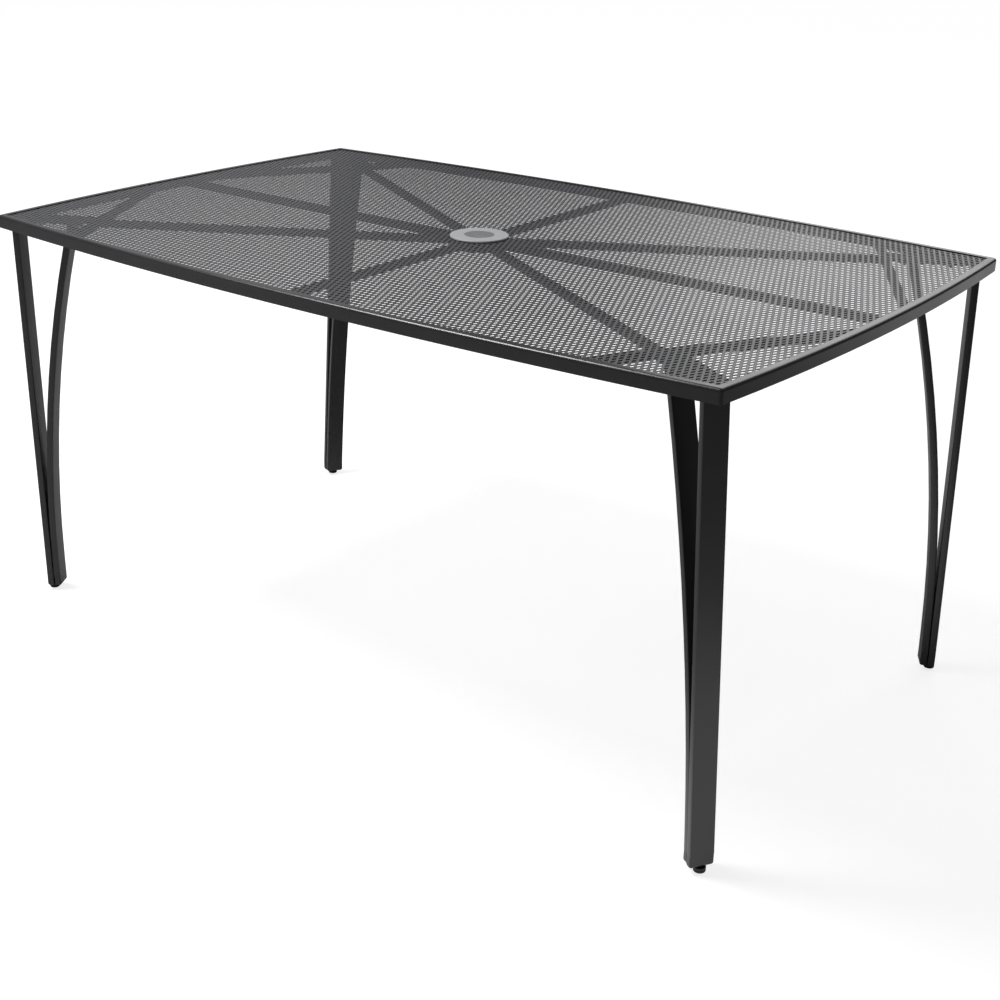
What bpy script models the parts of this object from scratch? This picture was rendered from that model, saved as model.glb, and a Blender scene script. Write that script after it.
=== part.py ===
"""Steel mesh garden table with four V legs, a central umbrella hole and levelling glides.

Metres, +Z up. The origin is on the floor under the middle of the top. X runs along the
table, Y across it. Corners are named front/back (-Y/+Y) and left/right (-X/+X).
"""

import math

import bmesh
import bpy
from mathutils import Matrix, Vector

# Running clearance between pieces that touch
GAP = 0.0003

# Top: corner to corner lengths, and how far each edge bows out at its middle
HEIGHT = 0.749
TOP_LENGTH = 1.481
TOP_WIDTH = 0.898
LONG_EDGE_BOW = 0.035
SHORT_EDGE_BOW = 0.0215

# Rim angle section: outer face height, top flange width, sheet thickness, corner radius
RIM_HEIGHT = 0.022
RIM_FLANGE = 0.0135
RIM_SHEET = 0.0015
RIM_RADIUS = 0.003

# Mesh panel, welded under the flange
MESH_THICKNESS = 0.0008
MESH_OVERLAP = 0.008
MESH_BORDER = 0.006
CELL_LENGTH = 0.112
CELL_WIDTH = 0.094
STRAND_WIDTH = 0.0055
MESH_HUB_RADIUS = 0.047

# Square tube of the spokes and of the corner braces, and how far in from a leg's top its
# brace crosses
BAR_SIZE = 0.0125
BAR_WALL = 0.0012
BAR_RADIUS = 0.0015
BRACE_FROM_LEG = 0.1475

# Hub: collar round the umbrella hole, and the plate under the spokes
COLLAR_BORE = 0.0520
COLLAR_WALL = 0.003
HUB_PLATE_DIAMETER = 0.100
HUB_PLATE_THICKNESS = 0.0025

# Plastic umbrella ring and its lift-out plug
RING_DIAMETER = 0.102
RING_FLANGE = 0.0038
RING_SLEEVE_WALL = 0.0018
RING_SLEEVE_DEPTH = 0.0215
RING_SEAT_DIAMETER = 0.0520
RING_SEAT_DEPTH = 0.0022
RING_BORE = 0.0455
PLUG_FLANGE = 0.0020
PLUG_SKIRT_WALL = 0.0012
PLUG_SKIRT_DEPTH = 0.012

# Mounting plates at the corners: the frame's, let into the brace, and the leg's under it,
# with the studs that hang from the one through the other, and their nuts
PLATE_WIDTH = 0.044
FRAME_PLATE_THICKNESS = 0.0025
LEG_PLATE_THICKNESS = 0.003
LEG_PLATE_OVERHANG = 0.012
STUD_DIAMETER = 0.006
STUD_TIP = 0.003
STUD_CLEARANCE = 0.0003
NUT_ACROSS = 0.010
NUT_HEIGHT = 0.005
STUDS_FROM_OUTER_TUBE = (0.040, 0.116)

# Leg: where the outer tube's middle reaches the top plate, in from the top's corner, and
# how far from there it stands on the floor
LEG_FROM_SHORT_EDGE = 0.0249
LEG_FROM_LONG_EDGE = 0.0271
FOOT_SPLAY_X = 0.0237
FOOT_SPLAY_Y = -0.0209

# Leg tubes: rectangular, wide face across the spread plane. They run side by side from the
# floor up to the straight height, and above it the inner one bends away
TUBE_THICKNESS = 0.0128
TUBE_WALL = 0.0012
TUBE_RADIUS = 0.0028
OUTER_TUBE_WIDTH = 0.040
INNER_TUBE_WIDTH = 0.036
INNER_TUBE_BEND = 2.515
INNER_STRAIGHT_HEIGHT = 0.0755

# Foot block and levelling glide
FOOT_BLOCK_HEIGHT = 0.020
FOOT_BLOCK_RADIUS = 0.0055
GLIDE_PAD_DIAMETER = 0.019
GLIDE_PAD_HEIGHT = 0.009
GLIDE_STUD_DIAMETER = 0.008
GLIDE_STUD_LENGTH = 0.016
GLIDE_CLEARANCE = 0.00015

# Segments along curves and round circles
EDGE_STEPS = 14
BEND_STEPS = 12
ROUND_STEPS = 32
SMALL_STEPS = 16
CORNER_STEPS = 3

# Levels that follow from the sizes
MESH_TOP = HEIGHT - RIM_SHEET - GAP
MESH_BOTTOM = MESH_TOP - MESH_THICKNESS
BAR_TOP = MESH_BOTTOM - GAP
BAR_BOTTOM = BAR_TOP - BAR_SIZE
FRAME_PLATE_TOP = BAR_TOP
FRAME_PLATE_BOTTOM = FRAME_PLATE_TOP - FRAME_PLATE_THICKNESS
LEG_PLATE_TOP = FRAME_PLATE_BOTTOM - GAP
LEG_PLATE_BOTTOM = LEG_PLATE_TOP - LEG_PLATE_THICKNESS
TUBE_TOP = LEG_PLATE_BOTTOM - GAP
BLOCK_BOTTOM = GLIDE_PAD_HEIGHT + GAP
BLOCK_TOP = BLOCK_BOTTOM + FOOT_BLOCK_HEIGHT
TUBE_BOTTOM = BLOCK_TOP + GAP
COLLAR_RADIUS = COLLAR_BORE / 2 + COLLAR_WALL

# Places that follow from the sizes
LEG_TOP_X = TOP_LENGTH / 2 - LEG_FROM_SHORT_EDGE
LEG_TOP_Y = TOP_WIDTH / 2 - LEG_FROM_LONG_EDGE
FOOT_X = LEG_TOP_X + FOOT_SPLAY_X
FOOT_Y = LEG_TOP_Y + FOOT_SPLAY_Y
BRACE_DISTANCE = math.hypot(LEG_TOP_X, LEG_TOP_Y) - BRACE_FROM_LEG

# Turns an outline's y up, for shapes drawn in side view
SIDE_VIEW = Matrix(((1, 0, 0, 0), (0, 0, -1, 0), (0, 1, 0, 0), (0, 0, 0, 1)))

CORNERS = {
    "front_left": (-1, -1),
    "front_right": (1, -1),
    "back_left": (-1, 1),
    "back_right": (1, 1),
}

# Finishes: colour, roughness, metallic
FINISHES = {
    "powder_coat": ((0.030, 0.031, 0.033), 0.42, 0.0),
    "mesh_coat": ((0.045, 0.046, 0.049), 0.48, 0.0),
    "ring_plastic": ((0.36, 0.365, 0.375), 0.50, 0.0),
    "plug_plastic": ((0.19, 0.193, 0.198), 0.50, 0.0),
    "glide_plastic": ((0.012, 0.012, 0.013), 0.55, 0.0),
    "zinc_steel": ((0.42, 0.42, 0.43), 0.38, 1.0),
}


def clear_scene():
    """Take every object out of the open scene."""
    for obj in list(bpy.data.objects):
        bpy.data.objects.remove(obj, do_unlink=True)


def new_collection(name):
    """Add a collection to the scene."""
    collection = bpy.data.collections.new(name)
    bpy.context.scene.collection.children.link(collection)
    return collection


def finish_material(piece, finish):
    """Give a piece its own Principled material."""
    colour, roughness, metallic = FINISHES[finish]
    material = bpy.data.materials.new(piece.name)
    material.use_nodes = True
    shader = material.node_tree.nodes["Principled BSDF"]
    shader.inputs["Base Color"].default_value = (*colour, 1.0)
    shader.inputs["Roughness"].default_value = roughness
    shader.inputs["Metallic"].default_value = metallic
    material.diffuse_color = (*colour, 1.0)
    piece.data.materials.clear()
    piece.data.materials.append(material)


def tidy_mesh(mesh, smooth_deg=35.0):
    """Weld loose caps, point the faces out and shade round surfaces smooth."""
    work = bmesh.new()
    work.from_mesh(mesh)
    bmesh.ops.remove_doubles(work, verts=work.verts, dist=2e-6)
    bmesh.ops.dissolve_degenerate(work, edges=work.edges, dist=1e-6)
    bmesh.ops.recalc_face_normals(work, faces=work.faces)
    if work.calc_volume(signed=True) < 0:
        bmesh.ops.reverse_faces(work, faces=work.faces)
    work.to_mesh(mesh)
    work.free()
    mesh.shade_smooth()
    mesh.set_sharp_from_angle(angle=math.radians(smooth_deg))


def mesh_from_curve(name, curve_object, collection):
    """Turn a curve object into a mesh object in the same place."""
    bpy.context.view_layer.update()
    depsgraph = bpy.context.evaluated_depsgraph_get()
    mesh = bpy.data.meshes.new_from_object(curve_object.evaluated_get(depsgraph))
    mesh.name = name
    matrix = curve_object.matrix_world.copy()
    curve_data = curve_object.data
    bpy.data.objects.remove(curve_object, do_unlink=True)
    bpy.data.curves.remove(curve_data)
    tidy_mesh(mesh)
    obj = bpy.data.objects.new(name, mesh)
    obj.matrix_world = matrix
    collection.objects.link(obj)
    return obj


def outline_solid(name, outlines, low, thickness, collection, frame=None):
    """Extrude flat outlines, the first outside and the rest holes, from a level up."""
    curve = bpy.data.curves.new(name + "_outline", "CURVE")
    curve.dimensions = "2D"
    curve.fill_mode = "BOTH"
    curve.extrude = thickness / 2
    for outline in outlines:
        spline = curve.splines.new("POLY")
        spline.points.add(len(outline) - 1)
        for point, (x, y) in zip(spline.points, outline):
            point.co = (x, y, 0.0, 1.0)
        spline.use_cyclic_u = True
    obj = bpy.data.objects.new(name + "_outline", curve)
    place = Matrix.Translation((0.0, 0.0, low + thickness / 2))
    obj.matrix_world = (frame or Matrix.Identity(4)) @ place
    collection.objects.link(obj)
    return mesh_from_curve(name, obj, collection)


def turned_solid(name, profile, frame, collection, steps=ROUND_STEPS):
    """Turn a profile of (radius, height) points, listed down the outer side."""
    mesh = bpy.data.meshes.new(name)
    on_axis = profile[0][0] == 0.0 and profile[-1][0] == 0.0
    edges = [(k, (k + 1) % len(profile)) for k in range(len(profile) - on_axis)]
    mesh.from_pydata([(r, 0.0, z) for r, z in profile], edges, [])
    obj = bpy.data.objects.new(name, mesh)
    obj.matrix_world = frame
    collection.objects.link(obj)
    screw = obj.modifiers.new("turn", "SCREW")
    screw.axis = "Z"
    screw.angle = math.tau
    screw.steps = steps
    screw.render_steps = steps
    screw.use_merge_vertices = True
    screw.merge_threshold = 0.00001
    apply_modifiers(obj)
    tidy_mesh(obj.data)
    return obj


def apply_modifiers(obj):
    """Replace an object's mesh by its evaluated one."""
    bpy.context.view_layer.update()
    depsgraph = bpy.context.evaluated_depsgraph_get()
    mesh = bpy.data.meshes.new_from_object(obj.evaluated_get(depsgraph))
    old = obj.data
    obj.modifiers.clear()
    obj.data = mesh
    mesh.name = obj.name
    bpy.data.meshes.remove(old)


def hide_cutter(obj):
    """Mark a helper solid so that it is not part of the table."""
    obj.hide_render = True
    obj.display_type = "WIRE"


def boolean(obj, cutter, operation):
    """Cut, keep or join an object by a helper solid, with the exact solver."""
    hide_cutter(cutter)
    modifier = obj.modifiers.new("cut", "BOOLEAN")
    modifier.operation = operation
    modifier.solver = "EXACT"
    modifier.object = cutter
    apply_modifiers(obj)
    tidy_mesh(obj.data)


def round_edges(obj, width, segments=2, angle_deg=50.0):
    """Round the sharp edges of a closed mesh."""
    bevel = obj.modifiers.new("edges", "BEVEL")
    bevel.width = width
    bevel.segments = segments
    bevel.limit_method = "ANGLE"
    bevel.angle_limit = math.radians(angle_deg)
    apply_modifiers(obj)
    tidy_mesh(obj.data)


def remove_piece(obj):
    """Take a helper solid away once it has done its work."""
    mesh = obj.data
    bpy.data.objects.remove(obj, do_unlink=True)
    bpy.data.meshes.remove(mesh)


def rounded_rectangle(width, height, radius, steps=CORNER_STEPS):
    """Points of a rectangle with round corners, centred on the origin."""
    points = []
    for quarter, (sx, sy) in enumerate(((1, 1), (-1, 1), (-1, -1), (1, -1))):
        cx = sx * (width / 2 - radius)
        cy = sy * (height / 2 - radius)
        for step in range(steps + 1):
            angle = math.radians(90.0 * (quarter + step / steps))
            points.append((cx + radius * math.cos(angle), cy + radius * math.sin(angle)))
    return points


def circle(radius, steps=ROUND_STEPS):
    """Points of a circle round the origin."""
    return [
        (radius * math.cos(math.tau * k / steps), radius * math.sin(math.tau * k / steps))
        for k in range(steps)
    ]


def bow_radius(chord, bow):
    """Radius of an arc from its chord and its rise."""
    return chord * chord / (8 * bow) + bow / 2


LONG_RADIUS = bow_radius(TOP_LENGTH, LONG_EDGE_BOW)
SHORT_RADIUS = bow_radius(TOP_WIDTH, SHORT_EDGE_BOW)
LONG_CENTRE_Y = TOP_WIDTH / 2 + LONG_EDGE_BOW - LONG_RADIUS
SHORT_CENTRE_X = TOP_LENGTH / 2 + SHORT_EDGE_BOW - SHORT_RADIUS


def inset_corner(inset):
    """Corner of the top's outline, moved in by an inset, in the +X +Y quarter."""
    long_r = LONG_RADIUS - inset
    short_r = SHORT_RADIUS - inset
    dx = SHORT_CENTRE_X
    dy = -LONG_CENTRE_Y
    distance = math.hypot(dx, dy)
    along = (long_r ** 2 - short_r ** 2 + distance ** 2) / (2 * distance)
    aside = math.sqrt(long_r ** 2 - along ** 2)
    ux, uy = dx / distance, dy / distance
    return ux * along + uy * aside, LONG_CENTRE_Y + uy * along - ux * aside


def edge_points(which, inset, steps=EDGE_STEPS):
    """Points of one bowed edge, moved in by an inset, going anticlockwise."""
    corner_x, corner_y = inset_corner(inset)
    points = []
    if which in ("back", "front"):
        radius = LONG_RADIUS - inset
        half = math.asin(corner_x / radius)
        for k in range(steps + 1):
            angle = half * (1 - 2 * k / steps)
            points.append((radius * math.sin(angle), LONG_CENTRE_Y + radius * math.cos(angle)))
    else:
        radius = SHORT_RADIUS - inset
        half = math.asin(corner_y / radius)
        for k in range(steps + 1):
            angle = half * (2 * k / steps - 1)
            points.append((SHORT_CENTRE_X + radius * math.cos(angle), radius * math.sin(angle)))
    if which in ("front", "left"):
        points = [(-x, -y) for x, y in points]
    return points


def top_outline(inset, steps=EDGE_STEPS):
    """The whole outline of the top, moved in by an inset, anticlockwise."""
    points = []
    for which in ("right", "back", "left", "front"):
        points.extend(edge_points(which, inset, steps)[:-1])
    return points


def clip_to_outline(polygon, outline):
    """Keep the part of a polygon that lies inside a convex anticlockwise outline."""
    kept = polygon
    for start, end in zip(outline, outline[1:] + outline[:1]):
        side = [
            (end[0] - start[0]) * (y - start[1]) - (end[1] - start[1]) * (x - start[0])
            for x, y in kept
        ]
        clipped = []
        for k, point in enumerate(kept):
            other = (k + 1) % len(kept)
            if side[k] >= 0:
                clipped.append(point)
            if side[k] * side[other] < 0:
                share = side[k] / (side[k] - side[other])
                clipped.append((
                    point[0] + share * (kept[other][0] - point[0]),
                    point[1] + share * (kept[other][1] - point[1]),
                ))
        kept = clipped
        if not kept:
            break
    return kept


def polygon_area(polygon):
    """Area of a polygon."""
    pairs = zip(polygon, polygon[1:] + polygon[:1])
    return abs(sum(x0 * y1 - x1 * y0 for (x0, y0), (x1, y1) in pairs)) / 2


def rim_profile():
    """Angle section: x is the distance in from the outer face, y is down from the top."""
    points = [(0.0, -RIM_HEIGHT)]
    for step in range(CORNER_STEPS + 2):
        angle = math.radians(180 - 90 * step / (CORNER_STEPS + 1))
        x = RIM_RADIUS + RIM_RADIUS * math.cos(angle)
        y = -RIM_RADIUS + RIM_RADIUS * math.sin(angle)
        points.append((x, y))
    points.append((RIM_FLANGE, 0.0))
    points.append((RIM_FLANGE, -RIM_SHEET))
    inner = RIM_RADIUS - RIM_SHEET
    for step in range(CORNER_STEPS):
        angle = math.radians(90 + 90 * step / (CORNER_STEPS - 1))
        x = RIM_SHEET + inner + inner * math.cos(angle)
        y = -RIM_SHEET - inner + inner * math.sin(angle)
        points.append((x, y))
    points.append((RIM_SHEET, -RIM_HEIGHT))
    return points


def build_rim_rail(which, collection):
    """One bowed rim rail, mitred at both corners."""
    path = edge_points(which, 0.0)
    lead = 3 * RIM_FLANGE
    for end, neighbour in ((0, 1), (-1, -2)):
        direction = Vector(path[end]) - Vector(path[neighbour])
        extra = Vector(path[end]) + direction.normalized() * lead
        path.insert(0 if end == 0 else len(path), tuple(extra))
    sections = []
    for k, (x, y) in enumerate(path):
        before = Vector(path[max(k - 1, 0)])
        after = Vector(path[min(k + 1, len(path) - 1)])
        along = (after - before).normalized()
        inward = Vector((-along.y, along.x))
        sections.append([
            (x + inward.x * px, y + inward.y * px, HEIGHT + py) for px, py in rim_profile()
        ])
    count = len(sections[0])
    points = [point for section in sections for point in section]
    faces = []
    for k in range(len(sections) - 1):
        for j in range(count):
            nxt = (j + 1) % count
            faces.append((k * count + j, k * count + nxt, (k + 1) * count + nxt, (k + 1) * count + j))
    faces.append(tuple(range(count)))
    faces.append(tuple((len(sections) - 1) * count + j for j in range(count)))
    mesh = bpy.data.meshes.new("rim_" + which)
    mesh.from_pydata(points, [], faces)
    obj = bpy.data.objects.new("rim_" + which, mesh)
    collection.objects.link(obj)
    tidy_mesh(mesh)
    inner_x, inner_y = inset_corner(RIM_FLANGE)
    outer_x, outer_y = inset_corner(0.0)
    work = bmesh.new()
    work.from_mesh(mesh)
    ends = {"back": ((1, 1), (-1, 1)), "front": ((1, -1), (-1, -1)),
            "right": ((1, 1), (1, -1)), "left": ((-1, 1), (-1, -1))}[which]
    for sx, sy in ends:
        mitre = Vector((sx * (outer_x - inner_x), sy * (outer_y - inner_y), 0.0)).normalized()
        outward = Vector((-mitre.y, mitre.x, 0.0))
        middle = Vector((sum(p[0] for p in path) / len(path), sum(p[1] for p in path) / len(path), 0.0))
        corner = Vector((sx * outer_x, sy * outer_y, 0.0))
        if outward.dot(corner - middle) < 0:
            outward = -outward
        geometry = work.verts[:] + work.edges[:] + work.faces[:]
        cut = bmesh.ops.bisect_plane(
            work, geom=geometry, plane_co=corner - outward * GAP / 2, plane_no=outward,
            clear_outer=True,
        )
        rim_edges = [item for item in cut["geom_cut"] if isinstance(item, bmesh.types.BMEdge)]
        bmesh.ops.holes_fill(work, edges=rim_edges, sides=0)
    work.to_mesh(mesh)
    work.free()
    tidy_mesh(mesh)
    finish_material(obj, "powder_coat")
    return obj


def mesh_cells():
    """Openings of the mesh: rows of diamonds, kept off the border and off the hub."""
    border = top_outline(RIM_FLANGE + MESH_BORDER)
    half_length = CELL_LENGTH / 2
    half_width = CELL_WIDTH / 2
    slope = math.hypot(half_length, half_width)
    shrink = STRAND_WIDTH / 2 * slope
    open_length = half_length - shrink / half_width
    open_width = half_width - shrink / half_length
    smallest = open_length * open_width / 4
    cells = []
    columns = int(TOP_LENGTH / CELL_LENGTH) + 2
    rows = int(TOP_WIDTH / CELL_WIDTH) + 2
    for row in range(-2 * rows, 2 * rows + 1):
        for column in range(-2 * columns, 2 * columns + 1):
            if (row + column) % 2:
                continue
            x = column * half_length
            y = row * half_width
            diamond = [(x + open_length, y), (x, y + open_width), (x - open_length, y), (x, y - open_width)]
            if row == 0 and column == 0:
                continue
            diamond = [push_off_hub(px, py) for px, py in diamond]
            diamond = clip_to_outline(diamond, border)
            if len(diamond) > 2 and polygon_area(diamond) > smallest:
                cells.append(diamond)
    return cells


def push_off_hub(x, y):
    """Move a point out to the hub's disc if it lies inside it."""
    distance = math.hypot(x, y)
    if distance >= MESH_HUB_RADIUS or distance == 0:
        return x, y
    return x * MESH_HUB_RADIUS / distance, y * MESH_HUB_RADIUS / distance


def build_top_mesh(collection):
    """The mesh panel as a flat net with one outline and many diamond openings."""
    outline = top_outline(RIM_FLANGE - MESH_OVERLAP)
    holes = [circle(COLLAR_BORE / 2)] + mesh_cells()
    obj = outline_solid("top_mesh", [outline] + holes, MESH_BOTTOM, MESH_THICKNESS, collection)
    finish_material(obj, "mesh_coat")
    return obj


def bar_along(name, start, end, collection):
    """Square tube between two points of the top's plan, just under the mesh."""
    direction = Vector((end[0] - start[0], end[1] - start[1], 0.0))
    length = direction.length
    direction.normalize()
    aside = Vector((-direction.y, direction.x, 0.0))
    level = BAR_BOTTOM + BAR_SIZE / 2
    frame = Matrix.Identity(4)
    frame.col[0].xyz = aside
    frame.col[1].xyz = Vector((0.0, 0.0, 1.0))
    frame.col[2].xyz = direction
    frame.col[3].xyz = Vector((start[0], start[1], level))
    outer = rounded_rectangle(BAR_SIZE, BAR_SIZE, BAR_RADIUS, 2)
    bore = BAR_SIZE - 2 * BAR_WALL
    inner = rounded_rectangle(bore, bore, BAR_RADIUS / 3, 1)
    obj = outline_solid(name, [outer, inner], 0.0, length, collection, frame)
    finish_material(obj, "powder_coat")
    return obj


def spread_direction(corner):
    """Direction in plan from the middle of the top to a leg's top, which its parts line up on."""
    sx, sy = CORNERS[corner]
    return Vector((sx * LEG_TOP_X, sy * LEG_TOP_Y)).normalized()


def plate_strip(corner, half_width):
    """Straight strip from a brace's inner side out past the corner of the rim."""
    out = spread_direction(corner)
    aside = Vector((-out.y, out.x)) * half_width
    start = out * (BRACE_DISTANCE - BAR_SIZE / 2 - GAP)
    end = out * math.hypot(TOP_LENGTH, TOP_WIDTH)
    return [tuple(point) for point in (start - aside, end - aside, end + aside, start + aside)]


def build_spokes_and_braces(collection, cutters):
    """Eight spokes from the hub collar, and four braces across the corners."""
    hub = COLLAR_RADIUS + GAP
    reach_x = TOP_LENGTH / 2 + SHORT_EDGE_BOW - RIM_SHEET - GAP
    reach_y = TOP_WIDTH / 2 + LONG_EDGE_BOW - RIM_SHEET - GAP
    bar_along("spoke_right", (hub, 0.0), (reach_x - bar_end_slack(SHORT_RADIUS), 0.0), collection)
    bar_along("spoke_left", (-hub, 0.0), (-reach_x + bar_end_slack(SHORT_RADIUS), 0.0), collection)
    bar_along("spoke_back", (0.0, hub), (0.0, reach_y - bar_end_slack(LONG_RADIUS)), collection)
    bar_along("spoke_front", (0.0, -hub), (0.0, -reach_y + bar_end_slack(LONG_RADIUS)), collection)
    inner_space = outline_solid(
        "inner_space", [top_outline(RIM_SHEET + GAP)], BAR_BOTTOM - BAR_SIZE, 3 * BAR_SIZE, cutters)
    for corner in CORNERS:
        out = spread_direction(corner)
        middle = out * BRACE_DISTANCE
        along = Vector((-out.y, out.x)) * TOP_WIDTH
        brace = bar_along("brace_" + corner, tuple(middle - along), tuple(middle + along), collection)
        boolean(brace, inner_space, "INTERSECT")
        notch = outline_solid(
            "plate_notch", [plate_strip(corner, PLATE_WIDTH / 2 + GAP)],
            FRAME_PLATE_BOTTOM - GAP, FRAME_PLATE_THICKNESS + 2 * GAP, cutters)
        boolean(brace, notch, "DIFFERENCE")
        remove_piece(notch)
        finish_material(brace, "powder_coat")
        reach = out * (BRACE_DISTANCE - BAR_SIZE / 2 - GAP)
        bar_along("spoke_" + corner, tuple(out * hub), tuple(reach), collection)


def bar_end_slack(radius):
    """Room that a bar's square end needs against a bowed rail."""
    return radius - math.sqrt(radius ** 2 - (BAR_SIZE / 2) ** 2)


def build_hub(collection):
    """Collar round the umbrella hole and the plate that the spokes lie on."""
    collar = outline_solid(
        "hub_collar", [circle(COLLAR_RADIUS), circle(COLLAR_BORE / 2)], BAR_BOTTOM, BAR_SIZE, collection)
    finish_material(collar, "powder_coat")
    plate = outline_solid(
        "hub_plate", [circle(HUB_PLATE_DIAMETER / 2), circle(COLLAR_BORE / 2)],
        BAR_BOTTOM - GAP - HUB_PLATE_THICKNESS, HUB_PLATE_THICKNESS, collection)
    finish_material(plate, "powder_coat")


def build_umbrella_ring(collection):
    """Flanged ring in the umbrella hole, and the plug that lifts out of it."""
    low = MESH_TOP + GAP
    top = low + RING_FLANGE
    seat = top - RING_SEAT_DEPTH
    sleeve = RING_BORE / 2 + RING_SLEEVE_WALL
    bottom = low - RING_SLEEVE_DEPTH
    edge = RING_FLANGE / 2
    rim = RING_DIAMETER / 2
    profile = [
        (RING_SEAT_DIAMETER / 2, top), (rim - 1.6 * edge, top), (rim - 0.6 * edge, top - 0.25 * edge),
        (rim, top - edge), (rim, low), (sleeve, low), (sleeve, bottom),
        (RING_BORE / 2, bottom), (RING_BORE / 2, seat), (RING_SEAT_DIAMETER / 2, seat),
    ]
    ring = turned_solid("umbrella_ring", profile, Matrix.Identity(4), collection)
    finish_material(ring, "ring_plastic")
    flange = RING_SEAT_DIAMETER / 2 - GAP
    skirt = RING_BORE / 2 - GAP
    plug_low = seat + GAP
    plug_top = plug_low + PLUG_FLANGE
    skirt_low = plug_low - PLUG_SKIRT_DEPTH
    soft = PLUG_FLANGE / 4
    profile = [
        (0.0, plug_top), (flange - soft, plug_top), (flange, plug_top - soft), (flange, plug_low),
        (skirt, plug_low), (skirt, skirt_low), (skirt - PLUG_SKIRT_WALL, skirt_low),
        (skirt - PLUG_SKIRT_WALL, plug_low), (0.0, plug_low),
    ]
    plug = turned_solid("umbrella_plug", profile, Matrix.Identity(4), collection)
    finish_material(plug, "plug_plastic")


def leg_frame(corner):
    """Frame of a leg: z up the outer tube, x out in the spread plane, y across it."""
    sx, sy = CORNERS[corner]
    foot = Vector((sx * FOOT_X, sy * FOOT_Y, 0.0))
    head = Vector((sx * LEG_TOP_X, sy * LEG_TOP_Y, TUBE_TOP))
    up = (head - foot).normalized()
    out = spread_direction(corner).to_3d()
    out = (out - up * out.dot(up)).normalized()
    across = up.cross(out)
    frame = Matrix.Identity(4)
    frame.col[0].xyz = out
    frame.col[1].xyz = across
    frame.col[2].xyz = up
    frame.col[3].xyz = foot
    return frame


def inner_tube_offset(height):
    """How far the inner tube's middle lies in from the outer tube's, at a height."""
    rise = max(height - INNER_STRAIGHT_HEIGHT, 0.0)
    arc = INNER_TUBE_BEND - math.sqrt(INNER_TUBE_BEND ** 2 - rise ** 2)
    return TUBE_THICKNESS + GAP + arc


def band_outline(offset_at, half_thickness, low, high, steps):
    """Side view of a bent tube: two lines beside a centreline, as (out, up) points."""
    middle = []
    for k in range(steps + 1):
        height = low + (high - low) * k / steps
        middle.append(Vector((-offset_at(height), height)))
    left, right = [], []
    for k, point in enumerate(middle):
        along = (middle[min(k + 1, steps)] - middle[max(k - 1, 0)]).normalized()
        aside = Vector((along.y, -along.x)) * half_thickness
        right.append(tuple(point + aside))
        left.append(tuple(point - aside))
    return right + left[::-1]


def bent_tube(name, corner, offset_at, width, steps, collection, cutters, wall=TUBE_WALL):
    """Rectangular tube in a leg's spread plane, cut level at its top and bottom."""
    frame = leg_frame(corner) @ SIDE_VIEW
    low = TUBE_BOTTOM - TUBE_THICKNESS * 2
    high = TUBE_TOP + TUBE_THICKNESS * 2
    outer = band_outline(offset_at, TUBE_THICKNESS / 2, low, high, steps)
    tube = outline_solid(name, [outer], -width / 2, width, collection, frame)
    round_edges(tube, TUBE_RADIUS)
    lead = TUBE_THICKNESS
    bore = band_outline(offset_at, TUBE_THICKNESS / 2 - wall, low - lead, high + lead, steps + 1)
    core = outline_solid(name + "_bore", [bore], wall - width / 2, width - 2 * wall, cutters, frame)
    boolean(tube, core, "DIFFERENCE")
    remove_piece(core)
    slab = level_slab(corner, TUBE_BOTTOM, TUBE_TOP, cutters)
    boolean(tube, slab, "INTERSECT")
    remove_piece(slab)
    finish_material(tube, "powder_coat")
    return tube


def level_slab(corner, low, high, cutters):
    """A block between two levels, round a whole leg."""
    sx, sy = CORNERS[corner]
    reach = TOP_WIDTH / 3
    cx, cy = sx * LEG_TOP_X, sy * LEG_TOP_Y
    square = [(cx - reach, cy - reach), (cx + reach, cy - reach),
              (cx + reach, cy + reach), (cx - reach, cy + reach)]
    slab = outline_solid("level_slab", [square], low, high - low, cutters)
    return slab


def straight_offset(_height):
    """The outer tube's middle is the leg frame's own axis."""
    return 0.0


def build_leg_tubes(corner, collection, cutters):
    """Outer and inner tubes, welded to each other where they run side by side."""
    bent_tube("leg_outer_" + corner, corner, straight_offset, OUTER_TUBE_WIDTH, 1, collection, cutters)
    bent_tube("leg_inner_" + corner, corner, inner_tube_offset, INNER_TUBE_WIDTH, BEND_STEPS,
              collection, cutters)


def point_on_leg(corner, out, height):
    """World point in a leg's frame that lies at a level, out along its spread plane."""
    frame = leg_frame(corner)
    start = frame @ Vector((out, 0.0, 0.0))
    up = frame.col[2].xyz
    return start + up * ((height - start.z) / up.z)


def level_frame(corner, out, height):
    """Upright frame at a point of a leg, with x out along the spread plane."""
    x_axis = spread_direction(corner).to_3d()
    y_axis = Vector((0.0, 0.0, 1.0)).cross(x_axis)
    frame = Matrix.Identity(4)
    frame.col[0].xyz = x_axis
    frame.col[1].xyz = y_axis
    frame.col[3].xyz = point_on_leg(corner, out, height)
    return frame


def stud_frames(corner):
    """Upright frames on a corner's stud axes, at floor level."""
    frame = level_frame(corner, 0.0, LEG_PLATE_TOP)
    frame.col[3].z = 0.0
    return [frame @ Matrix.Translation((-distance, 0.0, 0.0)) for distance in STUDS_FROM_OUTER_TUBE]


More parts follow.
